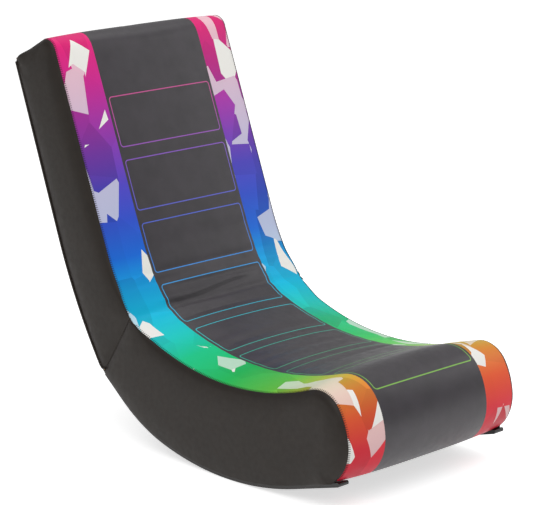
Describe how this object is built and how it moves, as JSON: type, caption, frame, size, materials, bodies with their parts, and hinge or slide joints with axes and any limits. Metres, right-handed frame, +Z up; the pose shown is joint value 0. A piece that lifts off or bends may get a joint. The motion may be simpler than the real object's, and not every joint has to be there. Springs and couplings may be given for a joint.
{
  "type": "gaming rocker chair",
  "caption": "Legless floor rocker chair with a curved padded seat on rocking runners and a padded back that folds forward over it on hinges.",
  "frame": {"origin": "middle of the footprint's box, on the floor under the lowest line of the runners", "axes": "+Z up, -Y towards the front of the seat, +X towards the sitter's left hand"},
  "size_m": [0.41, 0.7829, 0.6756],
  "materials": {
    "frame_wood": "raw plywood and softwood rails",
    "panel_board": "smooth hardboard",
    "foam": "open-cell upholstery foam",
    "printed_leatherette": "soft-sheen printed leatherette: charcoal centre band, rainbow side bands",
    "black_leatherette": "soft-sheen black-brown leatherette",
    "lining_cloth": "matt black non-woven cloth",
    "runner_plastic": "moulded black-brown plastic, lightly worn",
    "glide_plastic": "glossy black moulding",
    "hinge_steel": "zinc-plated steel"
  },
  "bodies": {
    "seat": {"seat_side_board_right": "frame_wood", "seat_side_board_left": "frame_wood", "seat_front_rail": "frame_wood", "seat_middle_rail": "frame_wood", "seat_hinge_rail": "frame_wood", "seat_panel": "panel_board", "seat_pad": "foam", "seat_cover": "printed_leatherette", "seat_side_cover_right": "black_leatherette", "seat_side_cover_left": "black_leatherette", "seat_rear_cover": "lining_cloth", "seat_dust_cloth": "lining_cloth", "seat_glue_blocks": "frame_wood", "runner_right": "runner_plastic", "runner_left": "runner_plastic", "front_glide_right": "glide_plastic", "front_glide_left": "glide_plastic", "hinge_seat_leaf_right": "hinge_steel", "hinge_seat_leaf_left": "hinge_steel", "hinge_pin_right": "hinge_steel", "hinge_pin_left": "hinge_steel", "hinge_screws_seat": "hinge_steel"},
    "back": {"back_side_board_right": "frame_wood", "back_side_board_left": "frame_wood", "back_top_rail": "frame_wood", "back_middle_rail": "frame_wood", "back_hinge_rail": "frame_wood", "back_panel": "panel_board", "back_pad": "foam", "back_cover": "printed_leatherette", "back_side_cover_right": "black_leatherette", "back_side_cover_left": "black_leatherette", "back_rear_panel": "panel_board", "back_rear_cover": "lining_cloth", "back_bottom_cover": "lining_cloth", "back_piping_right": "black_leatherette", "back_piping_left": "black_leatherette", "hinge_back_leaf_right": "hinge_steel", "hinge_back_leaf_left": "hinge_steel", "hinge_screws_back": "hinge_steel"}
  },
  "joints": [
    {"name": "back_fold", "type": "hinge", "parent": "seat", "child": "back", "pos_m": [0, 0.10943, 0.22054], "axis": [1, 0, 0], "range_deg": [0, 110]}
  ]
}
